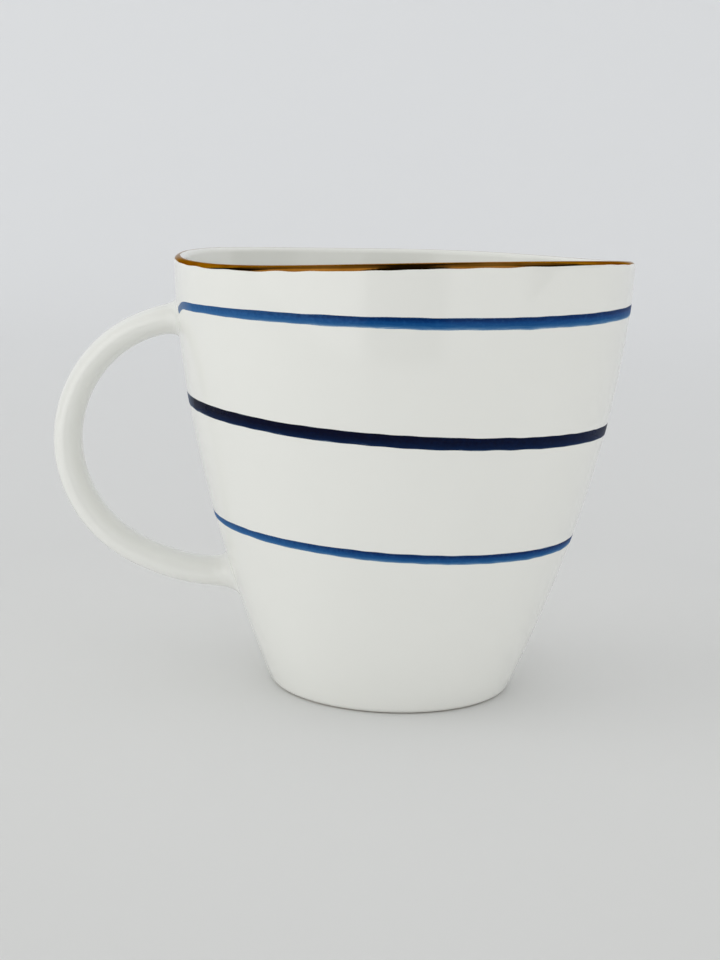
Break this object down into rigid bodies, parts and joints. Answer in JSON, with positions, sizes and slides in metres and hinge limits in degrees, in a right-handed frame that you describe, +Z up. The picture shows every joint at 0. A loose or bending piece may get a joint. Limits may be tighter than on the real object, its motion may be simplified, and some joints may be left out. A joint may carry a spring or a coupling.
{
  "type": "ceramic mug",
  "caption": "Flared porcelain mug with a round loop handle, a wavy gold-edged lip and painted blue bands round the wall.",
  "frame": {"origin": "on the table plane at the cup's own axis, in the middle of the foot ring", "axes": "+Z up along the cup's axis; the handle points to -X; the side with the stripes' ends nearest the viewer faces -Y"},
  "size_m": [0.1206, 0.0952, 0.0927],
  "materials": {
    "porcelain": "gloss",
    "slip": "gloss",
    "cobalt": "gloss",
    "dark_cobalt": "gloss",
    "gold": "polished"
  },
  "bodies": {
    "root": {"cup_body": "porcelain", "handle": "porcelain", "upper_slip_joint": "slip", "lower_slip_joint": "slip", "upper_stripe": "cobalt", "middle_stripe": "dark_cobalt", "lower_stripe": "cobalt", "gold_rim": "gold"}
  },
  "joints": []
}
